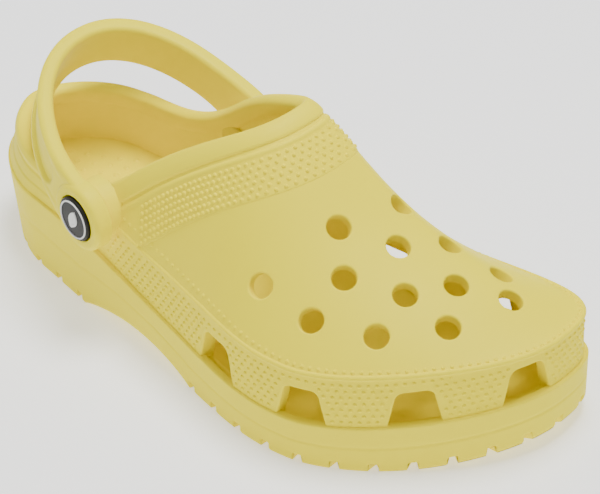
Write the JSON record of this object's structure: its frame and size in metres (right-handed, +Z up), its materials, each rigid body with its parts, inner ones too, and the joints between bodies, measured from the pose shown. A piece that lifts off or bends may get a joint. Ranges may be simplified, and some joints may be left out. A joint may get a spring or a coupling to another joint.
{
  "type": "garden clog",
  "caption": "Moulded foam garden clog for the right foot, with air holes in the vamp, vents round the toe and a riveted heel strap that swings over the foot opening.",
  "frame": {"origin": "on the ground, in the middle of the clog's length and width", "axes": "+X from heel to toe, +Y to the inner side of the foot, +Z up from the ground"},
  "size_m": [0.2888, 0.1161, 0.1153],
  "materials": {
    "foam_sole": "fine matt closed-cell foam",
    "foam_upper": "fine matt closed-cell foam",
    "foam_strap": "fine matt closed-cell foam",
    "rivet_plastic": "moulded plastic, satin",
    "badge_black": "gloss",
    "badge_white": "gloss print in low relief"
  },
  "bodies": {
    "clog": {"sole": "foam_sole", "upper": "foam_upper", "rivet_post_outer": "rivet_plastic", "rivet_cap_outer": "rivet_plastic", "badge_plate_outer": "badge_black", "badge_ring_outer": "badge_white", "badge_leaf_outer": "badge_white", "rivet_post_inner": "rivet_plastic", "rivet_cap_inner": "rivet_plastic", "badge_plate_inner": "badge_black", "badge_ring_inner": "badge_white", "badge_leaf_inner": "badge_white"},
    "strap": {"heel_strap": "foam_strap"}
  },
  "joints": [
    {"name": "strap_swing", "type": "hinge", "parent": "clog", "child": "strap", "pos_m": [-0.048, 0.0045, 0.0595], "axis": [0.1736, 0.9848, 0], "range_deg": [-2, 92]}
  ]
}
